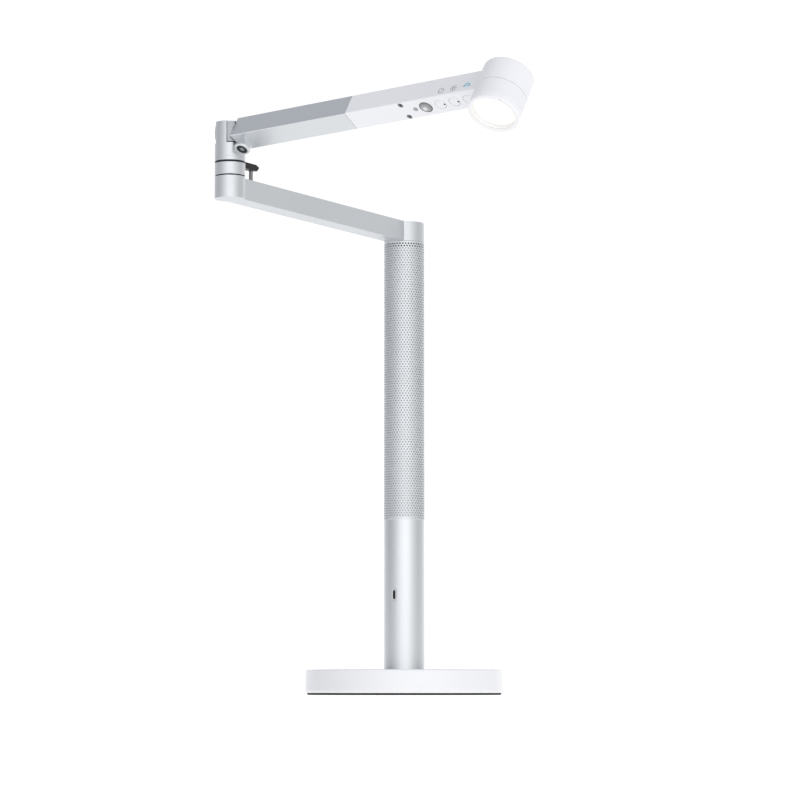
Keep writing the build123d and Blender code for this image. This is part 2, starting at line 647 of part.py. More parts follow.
# ---------------------------------------------------------------- upper arm
INNER_SIDE = ARM_SIDE - 2 * ARM_WALL
PLUG_END = 31.0
SPIGOT_LENGTH = 10.0
SPIGOT_WALL = 1.6
PIPE_RADIUS = 3.0
PIPE_DEPTH = -3.5
PIPE_START = 64.0
PIPE_END = ARM_LENGTH + 6
WIRE_DEPTH = 3.5
WIRE_RADIUS = 2.0
BORE_LENGTH = 20.0
STUD_RADIUS = 2.4
STUD_FOOT = 7.0
button_reaches = [BUTTON_REACH + BUTTON_SPACING * place for place in range(3)]

with BuildPart() as roll_collar:
    block(arm_plane(ARM_START), ARM_SIDE, ARM_SIDE, END_CAP, corner=ARM_CORNER)
    chamfer(roll_collar.faces().sort_by(Axis(arm_root, arm_dir))[0].edges(), 0.35)
    block(arm_plane(ARM_START + END_CAP), INNER_SIDE, INNER_SIDE, PLUG_END - ARM_START - END_CAP)
    ring(arm_plane(ARM_START), ROLL_BUSH_RADIUS, 0, 40, Mode.SUBTRACT)
    ring(beam_plane(BOSS_REACH, STUD_FOOT), STUD_RADIUS, 0, ARM_SIDE, Mode.SUBTRACT)
save(roll_collar, "roll_collar")

with BuildPart() as roll_bush:
    ring(arm_plane(ARM_START + 0.2), ROLL_BUSH_RADIUS, ROLL_SHAFT_RADIUS + RUNNING_GAP, 17.2)
save(roll_bush, "roll_bush")

with BuildPart() as arm_rear_shell:
    shell_start = ARM_START + END_CAP
    block(arm_plane(shell_start), ARM_SIDE, ARM_SIDE, SHELL_SEAM - shell_start, corner=ARM_CORNER)
    block(arm_plane(shell_start), INNER_SIDE, INNER_SIDE, SHELL_SEAM, Mode.SUBTRACT)
    ring(beam_plane(BOSS_REACH, ARM_HALF - ARM_WALL - 0.1), STUD_RADIUS, 0, ARM_SIDE, Mode.SUBTRACT)
save(arm_rear_shell, "arm_rear_shell")

with BuildPart() as arm_front_shell:
    front_start = SHELL_SEAM + SEAM_GAP
    block(arm_plane(front_start), ARM_SIDE, ARM_SIDE, ARM_LENGTH - front_start, corner=ARM_CORNER)
    block(arm_plane(SHELL_SEAM - SPIGOT_LENGTH), INNER_SIDE - 0.1, INNER_SIDE - 0.1, SPIGOT_LENGTH + 6)
    block(arm_plane(SHELL_SEAM + 6), INNER_SIDE, INNER_SIDE, CAVITY_END - SHELL_SEAM - 6, Mode.SUBTRACT)
    spigot_bore = INNER_SIDE - 0.1 - 2 * SPIGOT_WALL
    block(arm_plane(SHELL_SEAM - SPIGOT_LENGTH), spigot_bore, spigot_bore, SPIGOT_LENGTH + 7, Mode.SUBTRACT)
    ring(beam_plane(ARM_LENGTH, -ARM_SIDE), HEAD_RADIUS + 0.1, 0, 2 * ARM_SIDE, Mode.SUBTRACT)
    ring(bore_plane(CAVITY_END - 2, PIPE_DEPTH), PIPE_RADIUS, 0, BORE_LENGTH, Mode.SUBTRACT)
    ring(bore_plane(CAVITY_END - 2, WIRE_DEPTH), WIRE_RADIUS, 0, BORE_LENGTH, Mode.SUBTRACT)
    with BuildSketch(beam_plane(SCREW_REACH, 8.4)):
        with Locations((0, SCREW_SPREAD), (0, -SCREW_SPREAD)):
            Circle(SCREW_RECESS)
    extrude(amount=4, mode=Mode.SUBTRACT)
    with BuildSketch(beam_plane(SCREW_REACH, 5.0)):
        with Locations((0, SCREW_SPREAD), (0, -SCREW_SPREAD)):
            Circle(0.9)
    extrude(amount=4, mode=Mode.SUBTRACT)
    ring(beam_plane(LIGHT_SENSOR_REACH, 7), 2.2, 0, 4, Mode.SUBTRACT)
    ring(beam_plane(MOTION_SENSOR_REACH, 7), 5.8, 0, 4, Mode.SUBTRACT)
    for reach in button_reaches:
        ring(beam_plane(reach, 7), BUTTON_RADIUS + BUTTON_GAP, 0, 4, Mode.SUBTRACT)
save(arm_front_shell, "arm_front_shell")

RING_SEAT = 1.2
RING_RADIUS = 4.8
MAGNET_RADIUS = 2.1
with BuildPart() as dock_boss:
    ring(beam_plane(BOSS_REACH, ARM_HALF), BOSS_RADIUS, 0, BOSS_END - ARM_HALF)
    outer_end = dock_boss.faces().sort_by(Axis(arm_root, beam_dir))[-1]
    fillet(outer_end.edges(), 1.4)
    ring(beam_plane(BOSS_REACH, STUD_FOOT), STUD_RADIUS, 0, ARM_HALF - STUD_FOOT)
    ring(beam_plane(BOSS_REACH, BOSS_END - RING_SEAT), RING_RADIUS, 0, 4, Mode.SUBTRACT)
save(dock_boss, "dock_boss")

with BuildPart() as dock_boss_ring:
    ring(beam_plane(BOSS_REACH, BOSS_END - RING_SEAT), RING_RADIUS, MAGNET_RADIUS, RING_SEAT - 0.1)
save(dock_boss_ring, "dock_boss_ring")

with BuildPart() as dock_boss_magnet:
    ring(beam_plane(BOSS_REACH, BOSS_END - RING_SEAT), MAGNET_RADIUS, 0, RING_SEAT - 0.3)
save(dock_boss_magnet, "dock_boss_magnet")

with BuildPart() as heat_pipe:
    ring(bore_plane(PIPE_START, PIPE_DEPTH), PIPE_RADIUS, 0, PIPE_END - PIPE_START)
save(heat_pipe, "heat_pipe")

DRIVER_REACH = 84.0
with BuildPart() as driver_board:
    block(beam_plane(DRIVER_REACH, 1.6), 76, 14, 1.6)
    chips = ((-26, 12, 4.4), (-4, 8, 2.0), (14, 10, 3.2), (29, 5, 1.4))
    for chip_reach, chip_length, chip_height in chips:
        block(beam_plane(DRIVER_REACH + chip_reach, 3.2), chip_length, 9, chip_height)
save(driver_board, "driver_board")

BOARD_DEPTH = 2.0
BOARD_FRONT = 3.2
BOARD_REACH = 226.0
SWITCH_TOP = 6.1
with BuildPart() as sensor_board:
    block(beam_plane(BOARD_REACH, BOARD_DEPTH), 76, 14.6, BOARD_FRONT - BOARD_DEPTH)
    ring(beam_plane(MOTION_SENSOR_REACH, BOARD_FRONT), 4.1, 0, 4.2)
    block(beam_plane(LIGHT_SENSOR_REACH, BOARD_FRONT), 3, 3, 2)
    for reach in button_reaches:
        block(beam_plane(reach, BOARD_FRONT), 4.2, 4.2, 2)
        ring(beam_plane(reach, BOARD_FRONT), 1.5, 0, SWITCH_TOP - BOARD_FRONT)
save(sensor_board, "sensor_board")

with BuildPart() as indicator_light_pipes:
    for reach in button_reaches:
        with BuildSketch(beam_plane(reach, BOARD_FRONT)):
            with Locations(LIGHT_PIPE_OFFSET):
                Circle(LIGHT_PIPE_RADIUS)
        extrude(amount=ARM_HALF - BOARD_FRONT - 0.3)
save(indicator_light_pipes, "indicator_light_pipes")

with BuildPart() as control_screws:
    with BuildSketch(beam_plane(SCREW_REACH, 8.4)):
        with Locations((0, SCREW_SPREAD), (0, -SCREW_SPREAD)):
            Circle(SCREW_RECESS - 0.2)
            RegularPolygon(1.1, 6, mode=Mode.SUBTRACT)
    extrude(amount=1.0)
    with BuildSketch(beam_plane(SCREW_REACH, 5.0)):
        with Locations((0, SCREW_SPREAD), (0, -SCREW_SPREAD)):
            Circle(0.9)
    extrude(amount=3.6)
save(control_screws, "control_screws")

with BuildPart() as light_sensor_lens:
    ring(beam_plane(LIGHT_SENSOR_REACH, 7.4), 2.2, 0, ARM_HALF + 0.1 - 7.4)
    ring(beam_plane(LIGHT_SENSOR_REACH, 7.4), 3.0, 0, ARM_HALF - ARM_WALL - 7.4)
save(light_sensor_lens, "light_sensor_lens")

DOME_RADIUS = 5.7
DOME_FOOT = 7.5
DOME_OUTER = 8.5                # radius of the dome's outer sphere
DOME_INNER = 5.2
DOME_CREST = ARM_HALF + 1.9
DOME_SKIN = 0.8
with BuildPart() as motion_sensor_lens:
    flange_height = ARM_HALF - ARM_WALL - DOME_FOOT
    ring(beam_plane(MOTION_SENSOR_REACH, DOME_FOOT), DOME_RADIUS + 0.8, 0, flange_height)
    ring(beam_plane(MOTION_SENSOR_REACH, DOME_FOOT), DOME_RADIUS, 0, 6)
    with Locations(beam_plane(MOTION_SENSOR_REACH, DOME_CREST - DOME_OUTER)):
        Sphere(DOME_OUTER, mode=Mode.INTERSECT)
    with Locations(beam_plane(MOTION_SENSOR_REACH, DOME_CREST - DOME_SKIN - DOME_INNER)):
        Sphere(DOME_INNER, mode=Mode.SUBTRACT)
save(motion_sensor_lens, "motion_sensor_lens")

# ---------------------------------------------------------------- push buttons
BUTTON_FOOT = 6.8
BUTTON_FLANGE = 8.1
BUTTON_FACE = ARM_HALF - 0.1
DISH_RADIUS = 20.0
DISH_DEPTH = 0.5
for button_name, reach in zip(BUTTON_NAMES, button_reaches):
    with BuildPart() as button:
        ring(beam_plane(reach, BUTTON_FOOT), BUTTON_RADIUS + 0.7, 0, BUTTON_FLANGE - BUTTON_FOOT)
        ring(beam_plane(reach, BUTTON_FLANGE), BUTTON_RADIUS, 0, BUTTON_FACE - BUTTON_FLANGE)
        with Locations(beam_plane(reach, BUTTON_FACE + DISH_RADIUS - DISH_DEPTH)):
            Sphere(DISH_RADIUS, mode=Mode.SUBTRACT)
        with BuildSketch(beam_plane(reach, BUTTON_FOOT - 1)):
            with Locations(LIGHT_PIPE_OFFSET):
                Circle(LIGHT_PIPE_RADIUS + 0.1)
        extrude(amount=6, mode=Mode.SUBTRACT)
    save(button, button_name)

# ---------------------------------------------------------------- head
HEAD_ROUNDING = 1.6
SOCKET_RADIUS = 18.5             # bore that takes the lens, and its lip inside the housing
SPREADER_RADIUS = 19.1
SPREADER_BACK = -8.0
SPREADER_FRONT = 8.6
LED_FRONT = 10.2
RIM_RADIUS = 18.1
LENS_RADIUS = 18.4
LENS_THICKNESS = 1.8

with BuildPart() as head_housing:
    ring(beam_plane(ARM_LENGTH, HEAD_BACK), HEAD_RADIUS, 0, HEAD_SEAM - HEAD_BACK)
    fillet(head_housing.faces().sort_by(Axis(arm_root, beam_dir))[0].edges(), HEAD_ROUNDING)
    ring(beam_plane(ARM_LENGTH, HEAD_BACK + HEAD_WALL), HEAD_RADIUS - HEAD_WALL, 0, 40, Mode.SUBTRACT)
    ring(bore_plane(CAVITY_END - 2, PIPE_DEPTH), PIPE_RADIUS, 0, BORE_LENGTH, Mode.SUBTRACT)
    ring(bore_plane(CAVITY_END - 2, WIRE_DEPTH), WIRE_RADIUS, 0, BORE_LENGTH, Mode.SUBTRACT)
save(head_housing, "head_housing")

with BuildPart() as head_ring:
    ring_start = HEAD_SEAM + SEAM_GAP
    ring(beam_plane(ARM_LENGTH, ring_start), HEAD_RADIUS, 0, HEAD_FRONT - ring_start)
    fillet(head_ring.faces().sort_by(Axis(arm_root, beam_dir))[-1].edges(), 0.9)
    lip_start = SPREADER_FRONT + 0.1
    lip_length = HEAD_SEAM + 1 - lip_start
    ring(beam_plane(ARM_LENGTH, lip_start), HEAD_RADIUS - HEAD_WALL, SOCKET_RADIUS, lip_length)
    socket_length = LENS_BACK + LENS_THICKNESS - HEAD_SEAM
    ring(beam_plane(ARM_LENGTH, HEAD_SEAM), SOCKET_RADIUS, 0, socket_length, Mode.SUBTRACT)
    ring(beam_plane(ARM_LENGTH, HEAD_SEAM), RIM_RADIUS, 0, 40, Mode.SUBTRACT)
save(head_ring, "head_ring")

FIN_GAPS = 5
with BuildPart() as heat_spreader:
    ring(beam_plane(ARM_LENGTH, SPREADER_BACK), SPREADER_RADIUS, 0, SPREADER_FRONT - SPREADER_BACK)
    with BuildSketch(beam_plane(ARM_LENGTH, 1.5)):
        with GridLocations(1, 5.6, 1, FIN_GAPS):
            Rectangle(2 * HEAD_RADIUS, 2.4)
    extrude(amount=4.6, mode=Mode.SUBTRACT)
    ring(bore_plane(CAVITY_END, PIPE_DEPTH), PIPE_RADIUS, 0, PIPE_END - CAVITY_END, Mode.SUBTRACT)
save(heat_spreader, "heat_spreader")

with BuildPart() as led_module:
    ring(beam_plane(ARM_LENGTH, SPREADER_FRONT), 12, 0, LED_FRONT - SPREADER_FRONT)
    ring(beam_plane(ARM_LENGTH, LED_FRONT), 5, 0, 1.6)
    fillet(led_module.faces().sort_by(Axis(arm_root, beam_dir))[-1].edges(), 1.4)
save(led_module, "led_module")

with BuildPart() as reflector:
    with BuildSketch(profile_plane(ARM_LENGTH)):
        with BuildLine():
            Polyline(
                (5.4, LED_FRONT + 0.1),
                (6.4, LED_FRONT + 0.1),
                (17.8, LENS_BACK - 1.0),
                (LENS_RADIUS, LENS_BACK - 1.0),
                (LENS_RADIUS, LENS_BACK),
                (17.2, LENS_BACK),
                close=True,
            )
        make_face()
    revolve(axis=Axis(arm_root + arm_dir * ARM_LENGTH, beam_dir))
save(reflector, "reflector")

with BuildPart() as head_lens:
    ring(beam_plane(ARM_LENGTH, LENS_BACK), LENS_RADIUS, 0, LENS_THICKNESS)
save(head_lens, "head_lens")
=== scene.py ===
import json
from math import cos, hypot, pi, radians, sin

import bpy
from mathutils import Matrix, Vector


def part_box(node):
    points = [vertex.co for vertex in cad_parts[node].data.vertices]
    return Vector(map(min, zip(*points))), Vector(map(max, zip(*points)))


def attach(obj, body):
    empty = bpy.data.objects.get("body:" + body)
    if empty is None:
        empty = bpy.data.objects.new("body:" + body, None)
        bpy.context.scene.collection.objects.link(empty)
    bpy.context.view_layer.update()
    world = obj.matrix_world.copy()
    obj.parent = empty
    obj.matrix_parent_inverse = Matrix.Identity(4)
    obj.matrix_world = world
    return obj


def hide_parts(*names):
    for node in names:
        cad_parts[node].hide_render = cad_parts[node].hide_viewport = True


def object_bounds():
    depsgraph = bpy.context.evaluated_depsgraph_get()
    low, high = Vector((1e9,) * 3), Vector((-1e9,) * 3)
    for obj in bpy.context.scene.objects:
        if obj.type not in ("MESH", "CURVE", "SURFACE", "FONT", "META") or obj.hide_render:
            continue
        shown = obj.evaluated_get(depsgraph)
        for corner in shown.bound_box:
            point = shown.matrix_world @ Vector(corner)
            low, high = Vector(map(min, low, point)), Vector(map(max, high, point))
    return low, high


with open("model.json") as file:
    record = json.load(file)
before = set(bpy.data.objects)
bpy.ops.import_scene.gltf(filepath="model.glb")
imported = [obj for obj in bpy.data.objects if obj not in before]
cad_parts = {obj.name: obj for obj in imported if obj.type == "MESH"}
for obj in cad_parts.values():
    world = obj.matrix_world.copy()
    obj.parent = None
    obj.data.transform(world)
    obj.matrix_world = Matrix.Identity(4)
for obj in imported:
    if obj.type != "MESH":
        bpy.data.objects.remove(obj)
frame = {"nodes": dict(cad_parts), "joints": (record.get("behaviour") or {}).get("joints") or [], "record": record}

# Looks for the articulated desk lamp. Metres, in the frame of the CAD model.
# Places come from the CAD nodes' boxes and from the joints' axes.
cad_low, cad_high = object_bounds()
MM = 0.001
joints = {joint["name"]: joint for joint in frame["joints"]}
slot_of = {part["node"]: part["material_slot"] for part in frame["record"]["subparts"]}

arm_root = Vector(joints["arm_roll"]["pos_m"])
arm_dir = Vector(joints["arm_roll"]["axis"]).normalized()
beam_dir = -Vector(joints["power_button_press"]["axis"]).normalized()
side_dir = beam_dir.cross(arm_dir)


def span(node, origin, direction):
    """Lowest and highest distance of a CAD node's points from a point, along a direction."""
    reaches = [(vertex.co - origin).dot(direction) for vertex in frame["nodes"][node].data.vertices]
    return min(reaches), max(reaches)


def axes_matrix(origin, x_axis, y_axis, z_axis):
    """Matrix that places local x, y and z along three directions at a point."""
    turned = Matrix((x_axis, y_axis, z_axis)).transposed().to_4x4()
    return Matrix.Translation(origin) @ turned


def beam_matrix(reach):
    """Placement on the upper arm's axis: x along the arm, z towards its beam side."""
    return axes_matrix(arm_root + arm_dir * reach, arm_dir, side_dir, beam_dir)


# ---------------------------------------------------------------- materials
NOISE_ROUGHNESS = 0.55
SLOW_SCALE = 9.0                # of the slow wander in a material's colour
FINE_DETAIL = 2.0
BRUSH_SCALE = 1400.0
BRUSH_DARK = 0.93
BRUSH_LIGHT = 1.05
BRUSH_ROUGH_SPREAD = 0.08
BRUSH_RELIEF = 0.00001
WEAVE_RELIEF = 0.0001


def make_material(name):
    """A new material, its node tree and its Principled shader."""
    material = bpy.data.materials.new(name)
    material.use_nodes = True
    tree = material.node_tree
    return material, tree, tree.nodes["Principled BSDF"]


def object_coordinates(tree):
    """The Object coordinates, which stay with the piece when a joint moves."""
    return tree.nodes.new("ShaderNodeTexCoord").outputs["Object"]


def noise(tree, vector, scale, detail=3.0):
    """A noise texture's value."""
    node = tree.nodes.new("ShaderNodeTexNoise")
    node.inputs["Scale"].default_value = scale
    node.inputs["Detail"].default_value = detail
    node.inputs["Roughness"].default_value = NOISE_ROUGHNESS
    tree.links.new(vector, node.inputs["Vector"])
    return node.outputs["Fac"]


def spread(tree, value, low, high, from_low=0.3, from_high=0.7):
    """Maps a value to a range; a noise texture's value lies mostly between 0.3 and 0.7."""
    node = tree.nodes.new("ShaderNodeMapRange")
    node.inputs["From Min"].default_value = from_low
    node.inputs["From Max"].default_value = from_high
    node.inputs["To Min"].default_value = low
    node.inputs["To Max"].default_value = high
    tree.links.new(value, node.inputs["Value"])
    return node.outputs["Result"]


def tint(tree, value, dark, light):
    """Blends two colours by a texture's value."""
    node = tree.nodes.new("ShaderNodeMix")
    node.data_type = "RGBA"
    node.inputs["A"].default_value = (*dark, 1)
    node.inputs["B"].default_value = (*light, 1)
    tree.links.new(value, node.inputs["Factor"])
    return node.outputs["Result"]


def fill_ramp(ramp, tones):
    """Gives a colour ramp its stops."""
    while len(ramp.elements) < len(tones):
        ramp.elements.new(0.5)
    for element, (position, tone) in zip(ramp.elements, tones):
        element.position = position
        element.color = (*tone, 1)


def bump(tree, shader, height, distance):
    """Gives a shader relief from a texture's value; distance is its depth in metres."""
    node = tree.nodes.new("ShaderNodeBump")
    node.inputs["Distance"].default_value = distance
    tree.links.new(height, node.inputs["Height"])
    tree.links.new(node.outputs["Normal"], shader.inputs["Normal"])


def scaled(color, factor):
    """A colour made lighter or darker."""
    return tuple(min(1.0, channel * factor) for channel in color)


def surface(
    name,
    color,
    roughness,
    metallic=0.0,
    grain=900.0,
    relief=0.00002,
    variation=0.04,
    rough_spread=0.06,
    **settings,
):
    """A material whose colour wanders slowly, with a fine grain in its roughness and relief."""
    material, tree, shader = make_material(name)
    where = object_coordinates(tree)
    slow = spread(tree, noise(tree, where, SLOW_SCALE), 0.0, 1.0)
    fine = noise(tree, where, grain, FINE_DETAIL)
    shade = tint(tree, slow, scaled(color, 1 - variation), scaled(color, 1 + variation))
    tree.links.new(shade, shader.inputs["Base Color"])
    rough = spread(tree, fine, roughness - rough_spread, roughness + rough_spread)
    tree.links.new(rough, shader.inputs["Roughness"])
    bump(tree, shader, fine, relief)
    shader.inputs["Metallic"].default_value = metallic
    for socket, value in settings.items():
        shader.inputs[socket.replace("_", " ")].default_value = value
    return material


def brushed(name, color, roughness, direction):
    """A metal with fine turning or drawing marks; direction scales the texture on each axis."""
    material, tree, shader = make_material(name)
    stretch = tree.nodes.new("ShaderNodeMapping")
    stretch.inputs["Scale"].default_value = direction
    tree.links.new(object_coordinates(tree), stretch.inputs["Vector"])
    lines = noise(tree, stretch.outputs["Vector"], BRUSH_SCALE, FINE_DETAIL)
    amount = spread(tree, lines, 0.0, 1.0)
    shade = tint(tree, amount, scaled(color, BRUSH_DARK), scaled(color, BRUSH_LIGHT))
    tree.links.new(shade, shader.inputs["Base Color"])
    rough = spread(tree, lines, roughness - BRUSH_ROUGH_SPREAD, roughness + BRUSH_ROUGH_SPREAD)
    tree.links.new(rough, shader.inputs["Roughness"])
    bump(tree, shader, lines, BRUSH_RELIEF)
    shader.inputs["Metallic"].default_value = 1.0
    return material


def banded(name, color, accent, roughness, spacing):
    """A braided or layered surface: diagonal bands that cross each other."""
    material, tree, shader = make_material(name)
    where = object_coordinates(tree)
    waves = []
    for turn in (45, -45):
        lean = tree.nodes.new("ShaderNodeMapping")
        lean.inputs["Rotation"].default_value = (radians(turn), 0, radians(turn))
        tree.links.new(where, lean.inputs["Vector"])
        wave = tree.nodes.new("ShaderNodeTexWave")
        wave.inputs["Scale"].default_value = 1 / spacing
        tree.links.new(lean.outputs["Vector"], wave.inputs["Vector"])
        waves.append(wave.outputs["Fac"])
    weave = tree.nodes.new("ShaderNodeMath")
    weave.operation = "MULTIPLY"
    tree.links.new(waves[0], weave.inputs[0])
    tree.links.new(waves[1], weave.inputs[1])
    tree.links.new(tint(tree, weave.outputs[0], color, accent), shader.inputs["Base Color"])
    bump(tree, shader, weave.outputs[0], WEAVE_RELIEF)
    shader.inputs["Roughness"].default_value = roughness
    return material


WHITE = (0.82, 0.82, 0.845)
SILVER = (0.69, 0.708, 0.722)
SLEEVE_SILVER = (0.73, 0.745, 0.76)
BLACK = (0.008, 0.008, 0.009)

materials = {
    "black_rubber": surface(
        "black_rubber", BLACK, 0.62, grain=1600, relief=0.00005, variation=0.2, Specular_IOR_Level=0.12
    ),
    "steel": brushed("steel", (0.55, 0.56, 0.58), 0.3, (1, 1, 0.1)),
    "dark_steel": brushed("dark_steel", (0.24, 0.24, 0.245), 0.3, (1, 1, 0.1)),
    "cast_iron": surface("cast_iron", (0.22, 0.22, 0.23), 0.6, 0.8, grain=500, relief=0.0002),
    "white_paint": surface(
        "white_paint",
        (0.82, 0.82, 0.835),
        0.30,
        grain=1100,
        relief=0.000012,
        variation=0.012,
        Coat_Weight=0.25,
    ),
    "black_plastic": surface(
        "black_plastic", (0.01, 0.01, 0.012), 0.38, grain=2200, relief=0.00003, Specular_IOR_Level=0.28
    ),
    "zinc": surface("zinc", (0.40, 0.41, 0.43), 0.42, 1.0, grain=700, relief=0.00004),
    "silver_metal": surface("silver_metal", SILVER, 0.31, 1.0, grain=3200, relief=0.00001, variation=0.02),
    "diffuser_plastic": surface("diffuser_plastic", (0.58, 0.585, 0.595), 0.5, grain=600, variation=0.03),
    "polished_cone": surface("polished_cone", (0.85, 0.85, 0.86), 0.15, 1.0, grain=400),
    "black_anodised": surface("black_anodised", (0.008, 0.008, 0.009), 0.55, 0.2, grain=3000),
    "harness": banded("harness", (0.02, 0.02, 0.02), (0.09, 0.09, 0.09), 0.6, 0.0009),
    "port_bezel": surface("port_bezel", (0.62, 0.63, 0.64), 0.35, 0.8, grain=2600, relief=0.00001),
    "port_metal": brushed("port_metal", (0.85, 0.85, 0.86), 0.28, (1, 1, 0.1)),
    "port_tongue": surface("port_tongue", (0.012, 0.012, 0.013), 0.4, grain=2600),
    "circuit_board": banded("circuit_board", (0.02, 0.12, 0.05), (0.06, 0.25, 0.11), 0.4, 0.004),
    "bearing_polymer": surface("bearing_polymer", (0.78, 0.74, 0.64), 0.45, grain=1200),
    "magnet": surface("magnet", (0.36, 0.37, 0.39), 0.3, 1.0, grain=2200, relief=0.00001),
    "clear_lens": surface(
        "clear_lens", (0.9, 0.91, 0.93), 0.35, grain=2600, Transmission_Weight=0.6, variation=0.01
    ),
    "white_shell": surface("white_shell", WHITE, 0.42, grain=2400, relief=0.000015, variation=0.012),
    "white_button": surface("white_button", WHITE, 0.36, grain=2400, relief=0.00001, variation=0.012),
    "indicator": surface("indicator", (0.012, 0.012, 0.015), 0.3, grain=1500, relief=0.000005),
    "dark_screw": brushed("dark_screw", (0.24, 0.24, 0.25), 0.32, (1, 1, 1)),
    "dark_lens": surface(
        "dark_lens", (0.33, 0.33, 0.34), 0.2, grain=700, relief=0.000008, Coat_Weight=0.8
    ),
    "copper": brushed("copper", (0.72, 0.40, 0.24), 0.3, (0.1, 0.1, 1)),
    "spreader": brushed("spreader", (0.62, 0.62, 0.64), 0.35, (1, 1, 1)),
    "led": surface("led", (0.95, 0.75, 0.25), 0.4, grain=900),
    "mirror_finish": surface("mirror_finish", (0.92, 0.92, 0.91), 0.08, 1.0, grain=500, relief=0.000004),
    "head_lens": surface("head_lens", (0.95, 0.94, 0.9), 0.1, Transmission_Weight=0.9, variation=0.01),
}

for name, node in frame["nodes"].items():
    node.data.materials.clear()
    node.data.materials.append(materials[slot_of[name]])

# the lower arm and the elbow are blasted a little coarser than the stem
joint_metal = surface("joint_metal", SILVER, 0.43, 1.0, grain=2600, relief=0.00002, variation=0.02)
for name in ("lower_arm_beam", "elbow_ring", "elbow_fork"):
    frame["nodes"][name].data.materials[0] = joint_metal


# ---------------------------------------------------------------- mesh helpers
ROUND_SEGMENTS = 96


def add_piece(name, vertices, faces, body, slot, material=None, smooth_angle=35):
    """A new mesh piece that rides on a body, smooth except at creases over smooth_angle degrees."""
    mesh = bpy.data.meshes.new(name)
    mesh.from_pydata(vertices, [], faces)
    mesh.validate()
    mesh.shade_smooth()
    mesh.set_sharp_from_angle(angle=radians(smooth_angle))
    mesh.materials.append(material or materials[slot])
    piece = bpy.data.objects.new(name, mesh)
    bpy.context.scene.collection.objects.link(piece)
    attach(piece, body)
    return piece


def revolved(profile, placement, segments=ROUND_SEGMENTS):
    """Vertices and faces of a closed profile of (radius, height) points turned about local z."""
    vertices = []
    for radius, height in profile:
        for step in range(segments):
            angle = 2 * pi * step / segments
            vertices.append(placement @ Vector((radius * cos(angle), radius * sin(angle), height)))
    faces = []
    rings = len(profile)
    for ring in range(rings):
        after = (ring + 1) % rings
        for step in range(segments):
            turn = (step + 1) % segments
            faces.append(
                (
                    ring * segments + step,
                    ring * segments + turn,
                    after * segments + turn,
                    after * segments + step,
                )
            )
    return vertices, faces


def capped(profile, placement, segments=ROUND_SEGMENTS):
    """As revolved, for an open profile whose first and last points are closed by flat discs."""
    vertices, faces = revolved(profile, placement, segments)
    last = (len(profile) - 1) * segments
    faces = faces[:last]
    faces.append(tuple(reversed(range(segments))))
    faces.append(tuple(range(last, last + segments)))
    return vertices, faces


def arm_ring(name, profile, placement, slot, material=None):
    """A ring of the upper arm, turned about the placement's z."""
    vertices, faces = revolved(profile, placement)
    add_piece(name, vertices, faces, "upper_arm", slot, material)


# ---------------------------------------------------------------- perforated sleeve
SLEEVE_WALL = 0.8 * MM
HOLE_COLUMNS = 44
HOLE_ROWS = 114
HOLE_RADIUS = 0.86 * MM
PLAIN_EDGE_LOW = 0.3 * MM
PLAIN_EDGE_HIGH = 0.85 * MM


